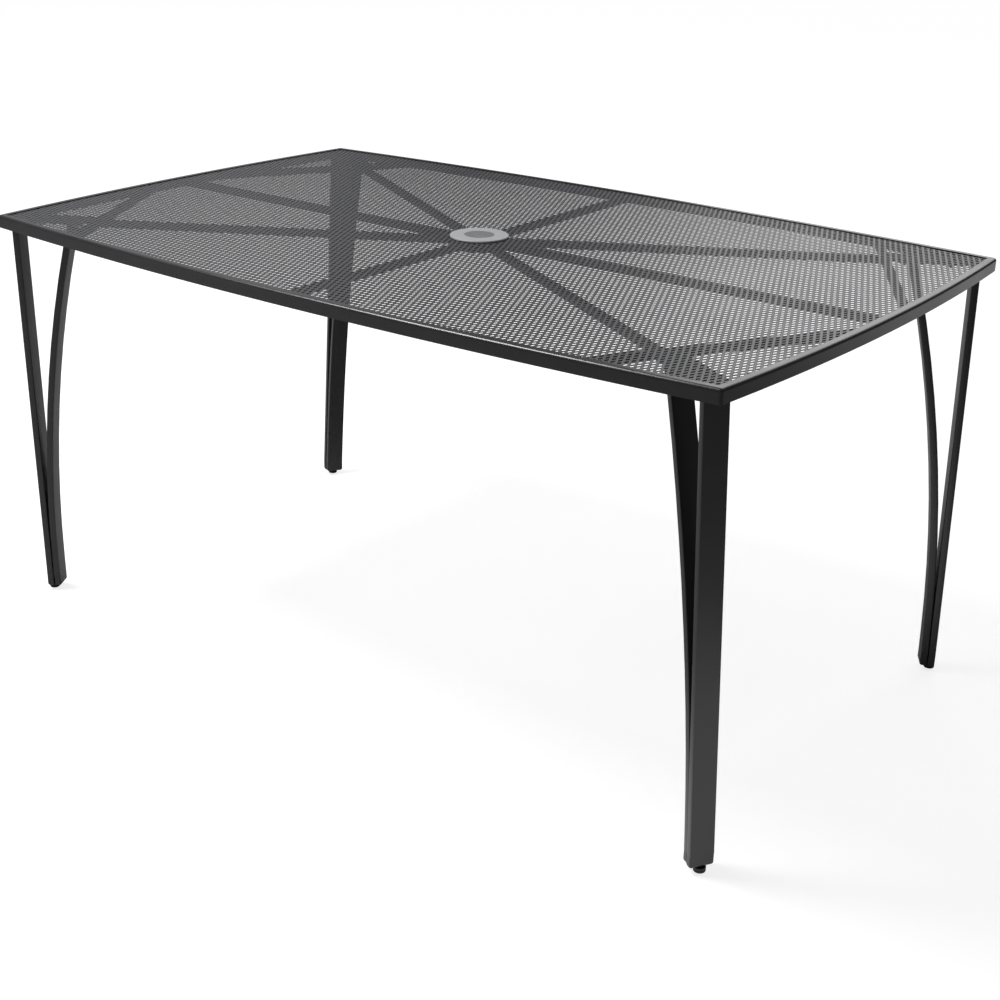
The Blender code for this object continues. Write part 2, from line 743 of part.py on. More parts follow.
def build_plates(corner, collection, cutters):
    """Frame plate with its welded studs, and the leg's own plate under it."""
    space = top_outline(RIM_SHEET + GAP)
    outline = clip_to_outline(plate_strip(corner, PLATE_WIDTH / 2), space)
    frame_plate = outline_solid(
        "frame_plate_" + corner, [outline], FRAME_PLATE_BOTTOM, FRAME_PLATE_THICKNESS, collection)
    leg_end = TUBE_THICKNESS / 2 + LEG_PLATE_OVERHANG
    leg_start = -STUDS_FROM_OUTER_TUBE[-1] - LEG_PLATE_OVERHANG
    frame = level_frame(corner, 0.0, LEG_PLATE_TOP)
    corners = [(leg_start, -PLATE_WIDTH / 2), (leg_end, -PLATE_WIDTH / 2),
               (leg_end, PLATE_WIDTH / 2), (leg_start, PLATE_WIDTH / 2)]
    points = [frame @ Vector((out, aside, 0.0)) for out, aside in corners]
    outline = clip_to_outline([(point.x, point.y) for point in points], space)
    leg_plate = outline_solid(
        "leg_plate_" + corner, [outline], LEG_PLATE_BOTTOM, LEG_PLATE_THICKNESS, collection)
    tip = LEG_PLATE_BOTTOM - GAP - NUT_HEIGHT - STUD_TIP
    root = FRAME_PLATE_BOTTOM + FRAME_PLATE_THICKNESS / 3
    radius = STUD_DIAMETER / 2
    for place in stud_frames(corner):
        profile = [
            (0.0, root), (radius, root), (radius, tip + radius / 4), (radius * 3 / 4, tip), (0.0, tip),
        ]
        stud = turned_solid("weld_stud", profile, place, cutters, SMALL_STEPS)
        boolean(frame_plate, stud, "UNION")
        remove_piece(stud)
        hole = outline_solid(
            "stud_hole", [circle(radius + STUD_CLEARANCE, SMALL_STEPS)],
            LEG_PLATE_BOTTOM - GAP, LEG_PLATE_THICKNESS + 2 * GAP, cutters, place)
        boolean(leg_plate, hole, "DIFFERENCE")
        remove_piece(hole)
    finish_material(frame_plate, "powder_coat")
    finish_material(leg_plate, "powder_coat")


def hexagon(across):
    """Points of a hexagon from its width across flats."""
    return circle(across / 2 / math.cos(math.pi / 6), 6)


def build_nuts(corner, collection):
    """Hexagon nuts on the studs, under the leg plate."""
    bore = circle(STUD_DIAMETER / 2 + STUD_CLEARANCE, SMALL_STEPS)
    for number, place in enumerate(stud_frames(corner), 1):
        nut = outline_solid(
            f"leg_nut_{corner}_{number}", [hexagon(NUT_ACROSS), bore],
            LEG_PLATE_BOTTOM - GAP - NUT_HEIGHT, NUT_HEIGHT, collection, place)
        finish_material(nut, "zinc_steel")


def foot_middle():
    """Distance in from the outer tube's middle to the middle of both tubes."""
    return (TUBE_THICKNESS + GAP) / 2


def foot_outline():
    """Outline of both tubes' ends side by side, with the grooves between them."""
    half = (CORNER_STEPS + 1) * 2
    outer = rounded_rectangle(TUBE_THICKNESS, OUTER_TUBE_WIDTH, TUBE_RADIUS)
    inner = rounded_rectangle(TUBE_THICKNESS, INNER_TUBE_WIDTH, TUBE_RADIUS)
    outline = [(x + foot_middle(), y) for x, y in outer[half:] + outer[:half]]
    return outline + [(x - foot_middle(), y) for x, y in inner]


def round_foot(block, frame, width, cutters):
    """Round a foot block's two bottom edges that lie across a frame's x axis."""
    shape = rounded_rectangle(width + GAP, 2 * FOOT_BLOCK_HEIGHT, FOOT_BLOCK_RADIUS)
    outline = [(x, z + BLOCK_TOP) for x, z in shape]
    rounding = outline_solid(
        "foot_rounding", [outline], -OUTER_TUBE_WIDTH, 2 * OUTER_TUBE_WIDTH, cutters, frame @ SIDE_VIEW)
    boolean(block, rounding, "INTERSECT")
    remove_piece(rounding)


def build_foot(corner, collection, cutters):
    """Foot block under both tubes and the levelling glide screwed up into it."""
    frame = level_frame(corner, -foot_middle(), BLOCK_TOP)
    frame.col[3].z = 0.0
    block = outline_solid("foot_block_" + corner, [foot_outline()], BLOCK_BOTTOM, FOOT_BLOCK_HEIGHT,
                          collection, frame)
    round_foot(block, frame, 2 * TUBE_THICKNESS + GAP, cutters)
    round_foot(block, frame @ Matrix.Rotation(math.pi / 2, 4, "Z"), OUTER_TUBE_WIDTH, cutters)
    frame = frame @ Matrix.Translation((foot_middle(), 0.0, 0.0))
    bore = outline_solid(
        "glide_bore", [circle(GLIDE_STUD_DIAMETER / 2 + GLIDE_CLEARANCE, SMALL_STEPS)],
        BLOCK_BOTTOM - GAP, GLIDE_STUD_LENGTH + 3 * GAP, cutters, frame)
    boolean(block, bore, "DIFFERENCE")
    remove_piece(bore)
    finish_material(block, "powder_coat")
    pad = GLIDE_PAD_DIAMETER / 2
    stud = GLIDE_STUD_DIAMETER / 2
    soft = GLIDE_PAD_HEIGHT / 5
    stud_top = GLIDE_PAD_HEIGHT + GLIDE_STUD_LENGTH
    profile = [
        (0.0, stud_top), (stud - soft / 3, stud_top), (stud, stud_top - soft / 3),
        (stud, GLIDE_PAD_HEIGHT), (pad - soft / 2, GLIDE_PAD_HEIGHT), (pad, GLIDE_PAD_HEIGHT - soft / 2),
        (pad, soft), (pad - soft, 0.0), (0.0, 0.0),
    ]
    glide = turned_solid("glide_" + corner, profile, frame, collection, SMALL_STEPS)
    finish_material(glide, "glide_plastic")


def build_table():
    """Build every piece of the table."""
    clear_scene()
    table = new_collection("garden_table")
    cutters = new_collection("cutters")
    for which in ("front", "back", "left", "right"):
        build_rim_rail(which, table)
    build_top_mesh(table)
    build_hub(table)
    build_spokes_and_braces(table, cutters)
    build_umbrella_ring(table)
    for corner in CORNERS:
        build_plates(corner, table, cutters)
        build_nuts(corner, table)
        build_leg_tubes(corner, table, cutters)
        build_foot(corner, table, cutters)


build_table()
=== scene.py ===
"""Looks of the steel mesh garden table: camera, studio, finishes, fine mesh and small details."""

import math

import bmesh
import bpy
from mathutils import Matrix, Vector


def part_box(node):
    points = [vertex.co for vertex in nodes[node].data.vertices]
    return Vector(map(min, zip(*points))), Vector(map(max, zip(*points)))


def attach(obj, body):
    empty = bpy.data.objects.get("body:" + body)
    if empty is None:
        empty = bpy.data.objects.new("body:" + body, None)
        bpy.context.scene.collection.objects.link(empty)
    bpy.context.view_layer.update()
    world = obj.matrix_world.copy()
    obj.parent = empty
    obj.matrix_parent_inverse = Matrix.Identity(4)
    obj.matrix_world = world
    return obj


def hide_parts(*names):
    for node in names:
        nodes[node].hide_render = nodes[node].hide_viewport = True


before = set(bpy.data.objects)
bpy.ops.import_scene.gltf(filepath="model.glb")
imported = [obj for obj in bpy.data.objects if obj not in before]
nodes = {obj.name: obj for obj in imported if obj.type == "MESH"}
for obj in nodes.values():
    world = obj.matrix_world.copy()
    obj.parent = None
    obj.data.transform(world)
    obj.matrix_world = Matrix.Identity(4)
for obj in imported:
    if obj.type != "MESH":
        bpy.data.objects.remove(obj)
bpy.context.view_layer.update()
scene = bpy.context.scene
scene.view_settings.view_transform = "Standard"

CORNERS = {
    "front_left": (-1, -1),
    "front_right": (1, -1),
    "back_left": (-1, 1),
    "back_right": (1, 1),
}

# Fitted camera: turn, dip and roll in radians, place in metres, focal length and centre in pixels
CAMERA_YAW = 0.668
CAMERA_PITCH = 0.3952
CAMERA_ROLL = 0.0142
CAMERA_PLACE = (1.6708, -2.1385, 1.3880)
CAMERA_FOCAL = 1599.5
CAMERA_CENTRE_X = 468.05
PHOTO_WIDTH = 1000.0
SENSOR_WIDTH = 36.0

# Floor: half its width, its paint for bounced light and for the camera and mirrors, and the light
# that it gives the camera near the table and far from it
FLOOR_REACH = 40.0
FLOOR_PAINT = (0.86, 0.86, 0.86)
FLOOR_PAINT_SEEN = (0.38, 0.38, 0.38)
FLOOR_NEAR = 0.80
FLOOR_FAR = 0.95
FLOOR_FADE = (1.5, 5.0)

# Glowing patches of the floor that only mirrors see, painted reflections of light: middle, radii that they
# fade between, strengths at both
NEAR_MIRROR_GLOW = ((0.95, -0.5, 0.0), (0.35, 0.85), (0.8, 0.02))
FAR_MIRROR_GLOW = ((1.6, 3.6, 0.0), (0.8, 2.4), (0.6, 0.0))

# Light of the world on everything but the camera
WORLD_DIM = (0.11, 0.11, 0.114, 1.0)

# Soft boxes: place, point aimed at, width, height and power
SOFT_BOXES = {
    "back_box": ((-0.4, 3.7, 3.0), (-0.4, 0.0, 2.4), 3.0, 3.2, 60.0),
    "left_box": ((-3.3, 2.3, 2.2), (-0.5, 0.1, 0.75), 2.4, 1.8, 5.0),
    "top_box": ((-0.2, 0.3, 3.6), (-0.2, 0.3, 0.75), 3.6, 3.2, 8.0),
    "key_box": ((-1.55, -1.0, 3.55), (-1.55, -1.0, 0.0), 1.4, 1.6, 155.0),
    "edge_strip": ((-2.6, -2.7, 0.75), (0.3, -0.4, 0.5), 0.8, 1.3, 2.5),
}

# Powder coats: darker and lighter colour, lower and upper roughness; depth of the orange peel
FRAME_COAT = ((0.021, 0.0213, 0.0228), (0.025, 0.0253, 0.027), 0.26, 0.32)
MESH_COAT = ((0.048, 0.0484, 0.0515), (0.056, 0.0565, 0.060), 0.38, 0.46)
COAT_PEEL = 0.00002

# Moulded plastics: darker and lighter colour, roughness, depth of the grain
RING_PLASTIC = ((0.30, 0.303, 0.312), (0.34, 0.343, 0.353), 0.48, 0.00004)
PLUG_PLASTIC = ((0.125, 0.127, 0.133), (0.15, 0.152, 0.158), 0.50, 0.00004)
GLIDE_PLASTIC = ((0.010, 0.010, 0.011), (0.015, 0.015, 0.016), 0.55, 0.00005)

# Zinc plating: its blue and its yellow tint
ZINC_BLUE = (0.46, 0.47, 0.50)
ZINC_YELLOW = (0.54, 0.52, 0.46)

# Expanded metal: short and long way of a diamond, strand width at its top and bottom
DIAMOND_X = 0.0099
DIAMOND_Y = 0.0209
STRAND_TOP = 0.0033
STRAND_BOTTOM = 0.0043
MESH_HUB_RADIUS = 0.047

# Rim angle section: flange width, sheet thickness, outer radius, and the corner's radius in plan
RIM_FLANGE = 0.0135
RIM_SHEET = 0.0015
RIM_RADIUS = 0.005
RIM_CORNER_RADIUS = 0.005

# Leg tubes' ends: thickness and widths, corner radius, groove, bottom rounding, and the
# direction in plan that a leg spreads in
TUBE_THICKNESS = 0.0128
OUTER_TUBE_WIDTH = 0.040
INNER_TUBE_WIDTH = 0.036
TUBE_RADIUS = 0.0032
TUBE_GROOVE = 0.0003
FOOT_ROUNDING = 0.0048
FOOT_STEPS = 6
SPREAD = (0.7156, 0.4219)

# Bars under the mesh: their square tube, and how far out the corner braces cross the spread line
BAR_SIZE = 0.0125
BRACE_DISTANCE = 0.6832

# Weld beads: radius, ripple length, share of the radius left between ripples, sides of their section,
# fewest ripples, power and least square of the ends' taper, and the angle up to which they look smooth
WELD_RADIUS = 0.0016
WELD_STEP = 0.0011
WELD_RIPPLE = 0.86
WELD_SIDES = 10
WELD_FEWEST = 6
WELD_TAPER = 6
WELD_TIP = 0.02
WELD_SMOOTH = 60.0

# Where they run: half their length on a bar's end and their distance in from a brace's end, both in
# bar widths, the share of a tube's side left bare at each end, and how near to its end a tube is read
WELD_BAR_SHARE = 0.42
WELD_BRACE_IN = 0.3
WELD_MARGIN = 0.12
WELD_READ = 0.002

# Umbrella ring: flange thickness, depth and radius of the plug's seat, bore, wall of the sleeve,
# radii of the outer, lower, seat and bore edges, and the sleeve's lead-in as (width, height)
RING_FLANGE = 0.0038
RING_SEAT_DEPTH = 0.0022
RING_SEAT_RADIUS = 0.0260
RING_BORE = 0.02275
RING_WALL = 0.0018
RING_EDGE = 0.0026
RING_LOWER_EDGE = 0.0008
RING_SEAT_EDGE = 0.0004
RING_BORE_EDGE = 0.0003
RING_LEAD_IN = (0.0006, 0.0015)

# Plug: lid thickness, skirt radius and wall, lid edge radius, the skirt's lead-in as (width, height),
# and the finger dish as (radius, depth) from its middle outwards
PLUG_LID = 0.0020
PLUG_SKIRT = 0.02245
PLUG_WALL = 0.0012
PLUG_EDGE = 0.0006
PLUG_LEAD_IN = (0.0003, 0.001)
PLUG_DISH = ((0.0, 0.0003), (0.008, 0.00028), (0.016, 0.00012))

# Levelling glides: pad height, radii of its upper and lower edges, its groove as (level, depth),
# stud radius, play in its bore, its chamfer, thread depth, pitch, plain neck and the relief under it,
# and where a turn's crest starts and ends, in pitches
GLIDE_PAD_HEIGHT = 0.009
GLIDE_PAD_EDGE = 0.0012
GLIDE_FOOT_EDGE = 0.002
GLIDE_GROOVE = ((0.0052, 0.0), (0.0048, 0.0005), (0.0042, 0.0005), (0.0038, 0.0))
GLIDE_STUD_RADIUS = 0.004
GLIDE_PLAY = 0.0001
GLIDE_CHAMFER = 0.0008
GLIDE_THREAD = 0.0004
GLIDE_PITCH = 0.00125
GLIDE_NECK = 0.002
GLIDE_RELIEF = 0.0006
GLIDE_CREST = (0.4, 0.5)

# Segments along a bowed edge, round a rim corner's half, round a circle and round a stud's bore
EDGE_STEPS = 48
CORNER_STEPS = 5
ROUND_STEPS = 96
BORE_STEPS = 32

# How far a cutter reaches past what it cuts, how near points are merged, and the angle in degrees up
# to which a surface looks smooth
CUT_PAST = 0.01
MERGE = 0.000005
SMOOTH_ANGLE = 32.0


def add_camera():
    """The photograph's view, from the fitted camera."""
    data = bpy.data.cameras.new("photo_camera")
    camera = bpy.data.objects.new("photo_camera", data)
    scene.collection.objects.link(camera)
    turn = Vector((math.cos(CAMERA_YAW), math.sin(CAMERA_YAW), 0.0))
    forward = Vector((-turn.y * math.cos(CAMERA_PITCH), turn.x * math.cos(CAMERA_PITCH),
                      -math.sin(CAMERA_PITCH)))
    up = turn.cross(forward)
    place = Matrix.Identity(4)
    place.col[0].xyz = math.cos(CAMERA_ROLL) * turn + math.sin(CAMERA_ROLL) * up
    place.col[1].xyz = -math.sin(CAMERA_ROLL) * turn + math.cos(CAMERA_ROLL) * up
    place.col[2].xyz = -forward
    place.col[3].xyz = CAMERA_PLACE
    camera.matrix_world = place
    data.sensor_width = SENSOR_WIDTH
    data.lens = CAMERA_FOCAL * SENSOR_WIDTH / PHOTO_WIDTH
    data.shift_x = (PHOTO_WIDTH / 2 - CAMERA_CENTRE_X) / PHOTO_WIDTH
    data.clip_start = 0.05
    data.clip_end = 200.0
    scene.camera = camera


def new_material(name):
    """Material with an empty node tree and an output."""
    material = bpy.data.materials.new(name)
    material.use_nodes = True
    tree = material.node_tree
    tree.nodes.clear()
    output = tree.nodes.new("ShaderNodeOutputMaterial")
    return material, tree, output


def noise(tree, place, scale, detail=2.0, roughness=0.5):
    """Noise in the object's own metres."""
    made = tree.nodes.new("ShaderNodeTexNoise")
    made.inputs["Scale"].default_value = scale
    made.inputs["Detail"].default_value = detail
    made.inputs["Roughness"].default_value = roughness
    tree.links.new(place, made.inputs["Vector"])
    return made.outputs["Fac"]


def remap(tree, value, from_low, from_high, to_low, to_high):
    """Linear map of a value, clamped."""
    made = tree.nodes.new("ShaderNodeMapRange")
    made.inputs["From Min"].default_value = from_low
    made.inputs["From Max"].default_value = from_high
    made.inputs["To Min"].default_value = to_low
    made.inputs["To Max"].default_value = to_high
    tree.links.new(value, made.inputs["Value"])
    return made.outputs["Result"]


def mix_colour(tree, factor, first, second):
    """Blend of two colours by a factor socket."""
    made = tree.nodes.new("ShaderNodeMix")
    made.data_type = "RGBA"
    made.inputs[6].default_value = (*first, 1.0)
    made.inputs[7].default_value = (*second, 1.0)
    tree.links.new(factor, made.inputs[0])
    return made.outputs[2]


def bump(tree, height, distance, strength, under=None):
    """Bump from a height socket, in metres."""
    made = tree.nodes.new("ShaderNodeBump")
    made.inputs["Distance"].default_value = distance
    made.inputs["Strength"].default_value = strength
    tree.links.new(height, made.inputs["Height"])
    if under is not None:
        tree.links.new(under, made.inputs["Normal"])
    return made.outputs["Normal"]


def coated(name, dark, light, rough_low, rough_high):
    """Powder coat: fine orange peel, slow colour and gloss variation."""
    material, tree, output = new_material(name)
    shader = tree.nodes.new("ShaderNodeBsdfPrincipled")
    place = tree.nodes.new("ShaderNodeTexCoord").outputs["Object"]
    slow = noise(tree, place, 9.0, 3.0)
    fine = noise(tree, place, 900.0, 2.0)
    grit = noise(tree, place, 2600.0, 1.0)
    tree.links.new(
        mix_colour(tree, remap(tree, slow, 0.3, 0.7, 0.0, 1.0), dark, light), shader.inputs["Base Color"])
    tree.links.new(remap(tree, slow, 0.3, 0.7, rough_low, rough_high), shader.inputs["Roughness"])
    coarse = bump(tree, fine, COAT_PEEL, 0.5)
    tree.links.new(bump(tree, grit, COAT_PEEL / 3, 0.4, coarse), shader.inputs["Normal"])
    tree.links.new(shader.outputs["BSDF"], output.inputs["Surface"])
    return material


def moulded(name, dark, light, roughness, grain):
    """Moulded plastic: fine spark-eroded grain and faint mottling."""
    material, tree, output = new_material(name)
    shader = tree.nodes.new("ShaderNodeBsdfPrincipled")
    place = tree.nodes.new("ShaderNodeTexCoord").outputs["Object"]
    slow = noise(tree, place, 60.0, 4.0, 0.6)
    fine = noise(tree, place, 2200.0, 3.0, 0.6)
    tree.links.new(
        mix_colour(tree, remap(tree, slow, 0.3, 0.7, 0.0, 1.0), dark, light), shader.inputs["Base Color"])
    tree.links.new(
        remap(tree, fine, 0.2, 0.8, roughness - 0.05, roughness + 0.08), shader.inputs["Roughness"])
    tree.links.new(bump(tree, fine, grain, 0.5), shader.inputs["Normal"])
    tree.links.new(shader.outputs["BSDF"], output.inputs["Surface"])
    return material


def plated(name):
    """Zinc plating: bright, with a faint yellow-blue cast and fine turning marks."""
    material, tree, output = new_material(name)
    shader = tree.nodes.new("ShaderNodeBsdfPrincipled")
    shader.inputs["Metallic"].default_value = 1.0
    place = tree.nodes.new("ShaderNodeTexCoord").outputs["Object"]
    slow = noise(tree, place, 180.0, 3.0)
    fine = noise(tree, place, 3000.0, 2.0)
    tree.links.new(
        mix_colour(tree, remap(tree, slow, 0.35, 0.65, 0.0, 1.0), ZINC_BLUE, ZINC_YELLOW),
        shader.inputs["Base Color"])
    tree.links.new(remap(tree, slow, 0.3, 0.7, 0.28, 0.42), shader.inputs["Roughness"])
    tree.links.new(bump(tree, fine, 0.00003, 0.5), shader.inputs["Normal"])
    tree.links.new(shader.outputs["BSDF"], output.inputs["Surface"])
    return material


def top_arcs():
    """Sizes of the top's bowed outline, read off the rim rails' boxes."""
    low_long, high_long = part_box("rim_front")
    high_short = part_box("rim_right")[1]
    half_x, half_y = high_long.x, high_short.y
    long_bow = -low_long.y - half_y
    short_bow = high_short.x - half_x
    long_radius = (half_x ** 2 + long_bow ** 2) / (2 * long_bow)
    short_radius = (half_y ** 2 + short_bow ** 2) / (2 * short_bow)
    return long_radius, short_radius, half_y + long_bow - long_radius, half_x + short_bow - short_radius


def inset_corner(inset):
    """Corner of the top's outline, moved in by an inset, in the +X +Y quarter."""
    long_radius, short_radius, long_centre, short_centre = top_arcs()
    long_r, short_r = long_radius - inset, short_radius - inset
    distance = math.hypot(short_centre, long_centre)
    along = (long_r ** 2 - short_r ** 2 + distance ** 2) / (2 * distance)
    aside = math.sqrt(long_r ** 2 - along ** 2)
    ux, uy = short_centre / distance, -long_centre / distance
    return ux * along + uy * aside, long_centre + uy * along - ux * aside


def edge_points(inset, is_long, steps):
    """Points of a bowed edge, as (along, out), with its rounded corners up to the mitres."""
    long_radius, short_radius, long_centre, short_centre = top_arcs()
    radius, centre = (long_radius, long_centre) if is_long else (short_radius, short_centre)
    hub = inset_corner(max(inset, RIM_CORNER_RADIUS))
    along, out = hub if is_long else hub[::-1]
    lean = math.atan2(along, out - centre)
    reach = max(RIM_CORNER_RADIUS - inset, 0.0)
    if is_long:
        other = math.atan2(hub[0] - short_centre, hub[1])
    else:
        other = math.atan2(hub[1] - long_centre, hub[0])
    mitre = (lean + other) / 2
    half = []
    for k in range(steps + 1):
        angle = lean * k / steps
        half.append(((radius - inset) * math.sin(angle), centre + (radius - inset) * math.cos(angle)))
    for k in range(1, CORNER_STEPS + 1):
        angle = lean + (mitre - lean) * k / CORNER_STEPS
        half.append((along + reach * math.sin(angle), out + reach * math.cos(angle)))
    return [(-a, b) for a, b in half[:0:-1]] + half


def place_edge(which, along, out):
    """Turn a point of an edge, as (along, out), to the rail that it belongs to."""
    places = {"front": (along, -out), "back": (-along, out), "right": (out, along), "left": (-out, -along)}
    return places[which]


def top_outline(inset):
    """Bowed outline of the top, inset, anticlockwise."""
    points = []
    for which in ("front", "right", "back", "left"):
        for along, out in edge_points(inset, which in ("front", "back"), EDGE_STEPS):
            point = place_edge(which, along, out)
            if not points or math.dist(point, points[-1]) > 1e-6:
                points.append(point)
    return points[1:]


def sweep_faces(count, rings, first=0):
    """Faces of a solid made of rings of points: its two end caps and the wall between them."""
    last = first + (rings - 1) * count
    faces = [tuple(first + j for j in range(count - 1, -1, -1)), tuple(last + j for j in range(count))]
    for k in range(rings - 1):
        for j in range(count):
            a, b = first + k * count + j, first + k * count + (j + 1) % count
            faces.append((a, b, b + count, a + count))
    return faces


def new_mesh(name, points, faces):
    """Mesh from points and faces."""
    mesh = bpy.data.meshes.new(name)
    mesh.from_pydata(points, [], faces)
    return mesh


def prism(name, outline, low, high):
    """Upright solid on an outline."""
    points = [(x, y, level) for level in (low, high) for x, y in outline]
    made = bpy.data.objects.new(name, new_mesh(name, points, sweep_faces(len(outline), 2)))
    scene.collection.objects.link(made)
    return made


def lattice_strands(low, high, half_x, half_y):
    """Diamond lattice as one closed sheet: knuckles joined by four-sided strands."""
    slant = Vector((DIAMOND_X, DIAMOND_Y)).normalized()
    # half width of a strand at its top and its bottom, measured along x and along y
    reach = {1: (STRAND_TOP / 2 / slant.y, STRAND_TOP / 2 / slant.x),
             0: (STRAND_BOTTOM / 2 / slant.y, STRAND_BOTTOM / 2 / slant.x)}
    sides = {"e": (1, 0), "n": (0, 1), "w": (-1, 0), "s": (0, -1)}
    limit_i = 2 * (int(half_x / DIAMOND_X) + 2)
    limit_j = 2 * (int(half_y / DIAMOND_Y) + 2)
    points, faces, index = [], [], {}

    def corner(i, j, side, level):
        key = (i, j, side, level)
        if key not in index:
            index[key] = len(points)
            dx, dy = sides[side]
            points.append((i * DIAMOND_X / 2 + dx * reach[level][0], j * DIAMOND_Y / 2 + dy * reach[level][1],
                           high if level else low))
        return index[key]

    def wall(i, j, a, b):
        faces.append((corner(i, j, a, 1), corner(i, j, a, 0), corner(i, j, b, 0), corner(i, j, b, 1)))

    for i in range(-limit_i, limit_i + 1):
        for j in range(-limit_j, limit_j + 1):
            if (i + j) % 2:
                continue
            faces.append(tuple(corner(i, j, side, 1) for side in "enws"))
            faces.append(tuple(corner(i, j, side, 0) for side in "swne"))
            for step, (a, b), (c, d) in ((1, "en", "sw"), (-1, "nw", "es")):
                i2, j2 = i + step, j + 1
                if abs(i2) > limit_i or j2 > limit_j:
                    wall(i, j, a, b)
                    continue
                up = [corner(i, j, a, 1), corner(i2, j2, c, 1), corner(i2, j2, d, 1), corner(i, j, b, 1)]
                down = [corner(i, j, a, 0), corner(i2, j2, c, 0), corner(i2, j2, d, 0), corner(i, j, b, 0)]
                faces.append(tuple(up))
                faces.append(tuple(reversed(down)))
                faces.append((up[0], down[0], down[1], up[1]))
                faces.append((up[2], down[2], down[3], up[3]))
            for step, (a, b) in ((1, "se"), (-1, "ws")):
                if abs(i + step) > limit_i or j - 1 < -limit_j:
                    wall(i, j, a, b)
    return points, faces


def apply_modifiers(piece):
    """Replace a piece's mesh by its evaluated one."""
    bpy.context.view_layer.update()
    depsgraph = bpy.context.evaluated_depsgraph_get()
    mesh = bpy.data.meshes.new_from_object(piece.evaluated_get(depsgraph))
    old = piece.data
    piece.modifiers.clear()
    piece.data = mesh
    bpy.data.meshes.remove(old)
    mesh.name = piece.name


def apply_boolean(piece, cutter, operation):
    """Cut a piece by another one, with the manifold solver, and drop the cutter."""
    cut = piece.modifiers.new("cut", "BOOLEAN")
    cut.operation = operation
    cut.solver = "MANIFOLD"
    cut.object = cutter
    apply_modifiers(piece)
    bpy.data.objects.remove(cutter, do_unlink=True)


def set_material(mesh, material):
    """Give a mesh one material all over."""
    mesh.materials.clear()
    mesh.materials.append(material)


def add_piece(name, mesh, material, slot, body, *replaced):
    """Show a mesh as a piece of the table, in place of the CAD nodes that it stands for."""
    made = bpy.data.objects.new(name, mesh)
    mesh.name = name
    scene.collection.objects.link(made)
    set_material(mesh, material)
    if replaced:
        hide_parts(*replaced)
    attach(made, body)
    return made


def shade_round(mesh, angle_deg=SMOOTH_ANGLE):
    """Smooth shading with sharp edges kept, where wide flat faces lead the normals."""
    work = bmesh.new()
    work.from_mesh(mesh)
    bmesh.ops.remove_doubles(work, verts=work.verts[:], dist=MERGE)
    bmesh.ops.recalc_face_normals(work, faces=work.faces[:])
    work.to_mesh(mesh)
    work.free()
    for extra in ("custom_normal", "sharp_edge"):
        if extra in mesh.attributes:
            mesh.attributes.remove(mesh.attributes[extra])
    mesh.shade_smooth()
    mesh.set_sharp_from_angle(angle=math.radians(angle_deg))
    holder = bpy.data.objects.new("holder", mesh)
    scene.collection.objects.link(holder)
    weights = holder.modifiers.new("weights", "WEIGHTED_NORMAL")
    weights.keep_sharp = True
    apply_modifiers(holder)
    shaded = holder.data
    bpy.data.objects.remove(holder, do_unlink=True)
    return shaded


def build_skin(node, material, slot):
    """Smoothly shaded copy of a CAD node, in its place."""
    mesh = nodes[node].data.copy()
    mesh.transform(nodes[node].matrix_world)
    add_piece(node + "_skin", shade_round(mesh), material, slot, "root", node)


def build_turned(name, profile, middle, material, slot, body, *replaced):
    """Round piece about an upright axis from a closed profile of (radius, height) points."""
    points, faces = [], []
    count = len(profile)
    for k in range(ROUND_STEPS):
        angle = math.tau * k / ROUND_STEPS
        for radius, height in profile:
            points.append(
                (middle[0] + radius * math.cos(angle), middle[1] + radius * math.sin(angle), height))
    for k in range(ROUND_STEPS):
        for j in range(count):
            a, b = k * count, ((k + 1) % ROUND_STEPS) * count
            nxt = (j + 1) % count
            if profile[j][0] or profile[nxt][0]:
                faces.append((a + j, b + j, b + nxt, a + nxt))
    add_piece(name, shade_round(new_mesh(name, points, faces)), material, slot, body, *replaced)


def arc(cx, cy, radius, start_deg, end_deg, steps):
    """Points of an arc, both ends included."""
    points = []
    for k in range(steps + 1):
        angle = math.radians(start_deg + (end_deg - start_deg) * k / steps)
        points.append((cx + radius * math.cos(angle), cy + radius * math.sin(angle)))
    return points


def rim_profile(height):
    """Rolled angle section, as (distance in from the outer face, level below the top)."""
    nip = RIM_SHEET / 3
    inner = RIM_RADIUS - RIM_SHEET
    points = arc(nip, -height + nip, nip, 270, 180, 2)
    points += arc(RIM_RADIUS, -RIM_RADIUS, RIM_RADIUS, 180, 90, 8)
    points += arc(RIM_FLANGE - nip, -nip, nip, 90, 0, 2)
    points += arc(RIM_FLANGE - nip, nip - RIM_SHEET, nip, 0, -90, 2)
    points += arc(RIM_SHEET + inner, -RIM_SHEET - inner, inner, 90, 180, 4)
    points += arc(RIM_SHEET - nip, -height + nip, nip, 0, -90, 2)
    return points


def build_rim(which, material):
    """One bowed rail with a rolled outer edge, whose corners are ground round at the mitres."""
    low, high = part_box("rim_" + which)
    profile = rim_profile(high.z - low.z)
    lines = [edge_points(inset, which in ("front", "back"), EDGE_STEPS) for inset, _drop in profile]
    length = len(lines[0])
    points = []
    for k in range(length):
        for (_inset, drop), line in zip(profile, lines):
            points.append((*place_edge(which, *line[k]), high.z + drop))
    name = "rim_rail_" + which
    mesh = shade_round(new_mesh(name, points, sweep_faces(len(profile), length)))
    add_piece(name, mesh, material, "frame_coat", "root", "rim_" + which)


